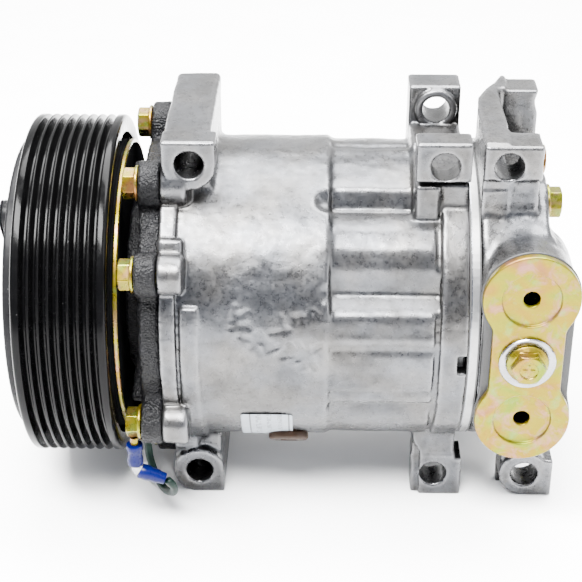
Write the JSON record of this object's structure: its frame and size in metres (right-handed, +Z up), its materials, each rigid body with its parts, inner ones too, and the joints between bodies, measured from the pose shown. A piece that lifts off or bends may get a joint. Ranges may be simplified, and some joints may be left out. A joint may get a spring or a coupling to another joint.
{
  "type": "automotive air conditioning compressor",
  "caption": "Wobble-plate air conditioning compressor with a multi-groove magnetic clutch pulley, cast ears for mounting and two capped side ports.",
  "frame": {"origin": "middle of the part's box at the height of the feet under the lower ears", "axes": "+X along the shaft from the pulley to the cylinder head, -Y towards the ports, +Z up"},
  "size_m": [0.215, 0.1324, 0.151],
  "materials": {
    "cast_black": "rough black coated casting",
    "cast_aluminium": "as-cast, blasted",
    "bright_steel": "ground",
    "dark_steel": "machined",
    "gasket_black": "matt",
    "yellow_zinc": "yellow zinc plated, iridescent",
    "winding_varnish": "varnished winding",
    "lead_green": "smooth insulation",
    "terminal_blue": "translucent nylon",
    "plug_brown": "dark plated",
    "pulley_black": "gloss black e-coat",
    "piston_alloy": "turned"
  },
  "bodies": {
    "housing": {"front_housing": "cast_black", "cylinder_block": "cast_aluminium", "cylinder_head": "cast_aluminium", "valve_plate": "bright_steel", "suction_reeds": "bright_steel", "discharge_reeds": "bright_steel", "block_gasket": "gasket_black", "head_gasket": "gasket_black", "front_o_ring": "gasket_black", "front_bolts": "yellow_zinc", "head_bolts": "yellow_zinc", "shaft_seal": "gasket_black", "needle_bearing": "bright_steel", "fixed_gear": "dark_steel", "pivot_ball": "bright_steel", "gear_spring": "dark_steel", "port_cap_plate": "yellow_zinc", "cap_gasket": "gasket_black", "cap_washer": "bright_steel", "cap_bolt": "yellow_zinc", "field_coil": "yellow_zinc", "coil_winding": "winding_varnish", "bearing_inner_race": "bright_steel", "coil_lead": "lead_green", "lead_terminals": "terminal_blue", "relief_valve": "yellow_zinc", "oil_plug": "plug_brown"},
    "pulley": {"pulley": "pulley_black", "bearing_outer_race": "bright_steel"},
    "pulley_balls": {"bearing_balls": "bright_steel"},
    "shaft": {"shaft": "dark_steel", "cam_rotor": "dark_steel", "clutch_hub": "pulley_black", "shaft_nut": "yellow_zinc", "leaf_springs": "pulley_black"},
    "armature": {"armature_plate": "pulley_black"},
    "front_rollers": {"front_thrust_bearing": "bright_steel"},
    "tilt_rollers": {"tilt_thrust_bearing": "bright_steel"},
    "planet": {"planet_plate": "dark_steel"},
    "ball_1": {"ball_1": "bright_steel"},
    "rod_1": {"rod_1": "dark_steel"},
    "piston_1": {"piston_1": "piston_alloy"},
    "ball_2": {"ball_2": "bright_steel"},
    "rod_2": {"rod_2": "dark_steel"},
    "piston_2": {"piston_2": "piston_alloy"},
    "ball_3": {"ball_3": "bright_steel"},
    "rod_3": {"rod_3": "dark_steel"},
    "piston_3": {"piston_3": "piston_alloy"},
    "ball_4": {"ball_4": "bright_steel"},
    "rod_4": {"rod_4": "dark_steel"},
    "piston_4": {"piston_4": "piston_alloy"},
    "ball_5": {"ball_5": "bright_steel"},
    "rod_5": {"rod_5": "dark_steel"},
    "piston_5": {"piston_5": "piston_alloy"},
    "ball_6": {"ball_6": "bright_steel"},
    "rod_6": {"rod_6": "dark_steel"},
    "piston_6": {"piston_6": "piston_alloy"},
    "ball_7": {"ball_7": "bright_steel"},
    "rod_7": {"rod_7": "dark_steel"},
    "piston_7": {"piston_7": "piston_alloy"}
  },
  "joints": [
    {"name": "pulley_spin", "type": "hinge", "parent": "housing", "child": "pulley", "pos_m": [-0.0775, 0, 0.076], "axis": [1, 0, 0], "continuous": true},
    {"name": "pulley_balls_orbit", "type": "hinge", "parent": "housing", "child": "pulley_balls", "pos_m": [-0.0775, 0, 0.076], "axis": [1, 0, 0], "continuous": true},
    {"name": "shaft_spin", "type": "hinge", "parent": "housing", "child": "shaft", "pos_m": [-0.0555, 0, 0.076], "axis": [1, 0, 0], "continuous": true},
    {"name": "armature_slide", "type": "slide", "parent": "shaft", "child": "armature", "axis": [1, 0, 0], "range_m": [0, 0.0005], "stiffness_N_per_m": 20000},
    {"name": "front_rollers_orbit", "type": "hinge", "parent": "housing", "child": "front_rollers", "pos_m": [-0.0467, 0, 0.076], "axis": [1, 0, 0], "continuous": true},
    {"name": "tilt_rollers_orbit", "type": "hinge", "parent": "shaft", "child": "tilt_rollers", "pos_m": [-0.0125, 0, 0.076], "axis": [0.9114, 0, -0.4115], "continuous": true},
    {"name": "plate_wobble", "type": "hinge", "parent": "shaft", "child": "planet", "pos_m": [-0.0125, 0, 0.076], "axis": [0.9114, 0, -0.4115], "continuous": true},
    {"name": "ball_1_turn", "type": "hinge", "parent": "planet", "child": "ball_1", "pos_m": [-0.0017, -0.02988, 0.09991], "axis": [0.9114, 0, -0.4115], "continuous": true},
    {"name": "rod_1_swing", "type": "hinge", "parent": "ball_1", "child": "rod_1", "pos_m": [-0.0017, -0.02988, 0.09991], "axis": [1, 0, 0], "continuous": true},
    {"name": "piston_1_stroke", "type": "hinge", "parent": "rod_1", "child": "piston_1", "pos_m": [0.05027, -0.02855, 0.10107], "axis": [1, 0, 0], "continuous": true},
    {"name": "ball_2_turn", "type": "hinge", "parent": "planet", "child": "ball_2", "pos_m": [-0.01538, -0.03914, 0.06962], "axis": [0.9114, 0, -0.4115], "continuous": true},
    {"name": "rod_2_swing", "type": "hinge", "parent": "ball_2", "child": "rod_2", "pos_m": [-0.01538, -0.03914, 0.06962], "axis": [1, 0, 0], "continuous": true},
    {"name": "piston_2_stroke", "type": "hinge", "parent": "rod_2", "child": "piston_2", "pos_m": [0.03659, -0.03741, 0.06931], "axis": [1, 0, 0], "continuous": true},
    {"name": "ball_3_turn", "type": "hinge", "parent": "planet", "child": "ball_3", "pos_m": [-0.02689, -0.01893, 0.04413], "axis": [0.9114, 0, -0.4115], "continuous": true},
    {"name": "rod_3_swing", "type": "hinge", "parent": "ball_3", "child": "rod_3", "pos_m": [-0.02689, -0.01893, 0.04413], "axis": [1, 0, 0], "continuous": true},
    {"name": "piston_3_stroke", "type": "hinge", "parent": "rod_3", "child": "piston_3", "pos_m": [0.02508, -0.01809, 0.04258], "axis": [1, 0, 0], "continuous": true},
    {"name": "ball_4_turn", "type": "hinge", "parent": "planet", "child": "ball_4", "pos_m": [-0.02756, 0.01554, 0.04264], "axis": [0.9114, 0, -0.4115], "continuous": true},
    {"name": "rod_4_swing", "type": "hinge", "parent": "ball_4", "child": "rod_4", "pos_m": [-0.02756, 0.01554, 0.04264], "axis": [1, 0, 0], "continuous": true},
    {"name": "piston_4_stroke", "type": "hinge", "parent": "rod_4", "child": "piston_4", "pos_m": [0.02441, 0.01485, 0.04102], "axis": [1, 0, 0], "continuous": true},
    {"name": "ball_5_turn", "type": "hinge", "parent": "planet", "child": "ball_5", "pos_m": [-0.01689, 0.0383, 0.06627], "axis": [0.9114, 0, -0.4115], "continuous": true},
    {"name": "rod_5_swing", "type": "hinge", "parent": "ball_5", "child": "rod_5", "pos_m": [-0.01689, 0.0383, 0.06627], "axis": [1, 0, 0], "continuous": true},
    {"name": "piston_5_stroke", "type": "hinge", "parent": "rod_5", "child": "piston_5", "pos_m": [0.03508, 0.0366, 0.0658], "axis": [1, 0, 0], "continuous": true},
    {"name": "ball_6_turn", "type": "hinge", "parent": "planet", "child": "ball_6", "pos_m": [-0.00292, 0.03223, 0.09723], "axis": [0.9114, 0, -0.4115], "continuous": true},
    {"name": "rod_6_swing", "type": "hinge", "parent": "ball_6", "child": "rod_6", "pos_m": [-0.00292, 0.03223, 0.09723], "axis": [1, 0, 0], "continuous": true},
    {"name": "piston_6_stroke", "type": "hinge", "parent": "rod_6", "child": "piston_6", "pos_m": [0.04906, 0.0308, 0.09826], "axis": [1, 0, 0], "continuous": true},
    {"name": "ball_7_turn", "type": "hinge", "parent": "planet", "child": "ball_7", "pos_m": [0.00384, 0.00188, 0.1122], "axis": [0.9114, 0, -0.4115], "continuous": true},
    {"name": "rod_7_swing", "type": "hinge", "parent": "ball_7", "child": "rod_7", "pos_m": [0.00384, 0.00188, 0.1122], "axis": [1, 0, 0], "continuous": true},
    {"name": "piston_7_stroke", "type": "hinge", "parent": "rod_7", "child": "piston_7", "pos_m": [0.05581, 0.0018, 0.11396], "axis": [1, 0, 0], "continuous": true}
  ],
  "couplings": [
    {"joint": "pulley_balls_orbit", "follows": "pulley_spin", "ratio": 0.5644},
    {"joint": "front_rollers_orbit", "follows": "shaft_spin", "ratio": 0.5},
    {"joint": "tilt_rollers_orbit", "follows": "shaft_spin", "ratio": -0.5},
    {"joint": "plate_wobble", "follows": "shaft_spin", "ratio": -1},
    {"joint": "ball_1_turn", "follows": "shaft_spin", "ratio": 1},
    {"joint": "rod_1_swing", "follows": "shaft_spin", "ratio": 1},
    {"joint": "piston_1_stroke", "follows": "shaft_spin", "ratio": -2},
    {"joint": "ball_2_turn", "follows": "shaft_spin", "ratio": 1},
    {"joint": "rod_2_swing", "follows": "shaft_spin", "ratio": 1},
    {"joint": "piston_2_stroke", "follows": "shaft_spin", "ratio": -2},
    {"joint": "ball_3_turn", "follows": "shaft_spin", "ratio": 1},
    {"joint": "rod_3_swing", "follows": "shaft_spin", "ratio": 1},
    {"joint": "piston_3_stroke", "follows": "shaft_spin", "ratio": -2},
    {"joint": "ball_4_turn", "follows": "shaft_spin", "ratio": 1},
    {"joint": "rod_4_swing", "follows": "shaft_spin", "ratio": 1},
    {"joint": "piston_4_stroke", "follows": "shaft_spin", "ratio": -2},
    {"joint": "ball_5_turn", "follows": "shaft_spin", "ratio": 1},
    {"joint": "rod_5_swing", "follows": "shaft_spin", "ratio": 1},
    {"joint": "piston_5_stroke", "follows": "shaft_spin", "ratio": -2},
    {"joint": "ball_6_turn", "follows": "shaft_spin", "ratio": 1},
    {"joint": "rod_6_swing", "follows": "shaft_spin", "ratio": 1},
    {"joint": "piston_6_stroke", "follows": "shaft_spin", "ratio": -2},
    {"joint": "ball_7_turn", "follows": "shaft_spin", "ratio": 1},
    {"joint": "rod_7_swing", "follows": "shaft_spin", "ratio": 1},
    {"joint": "piston_7_stroke", "follows": "shaft_spin", "ratio": -2}
  ]
}
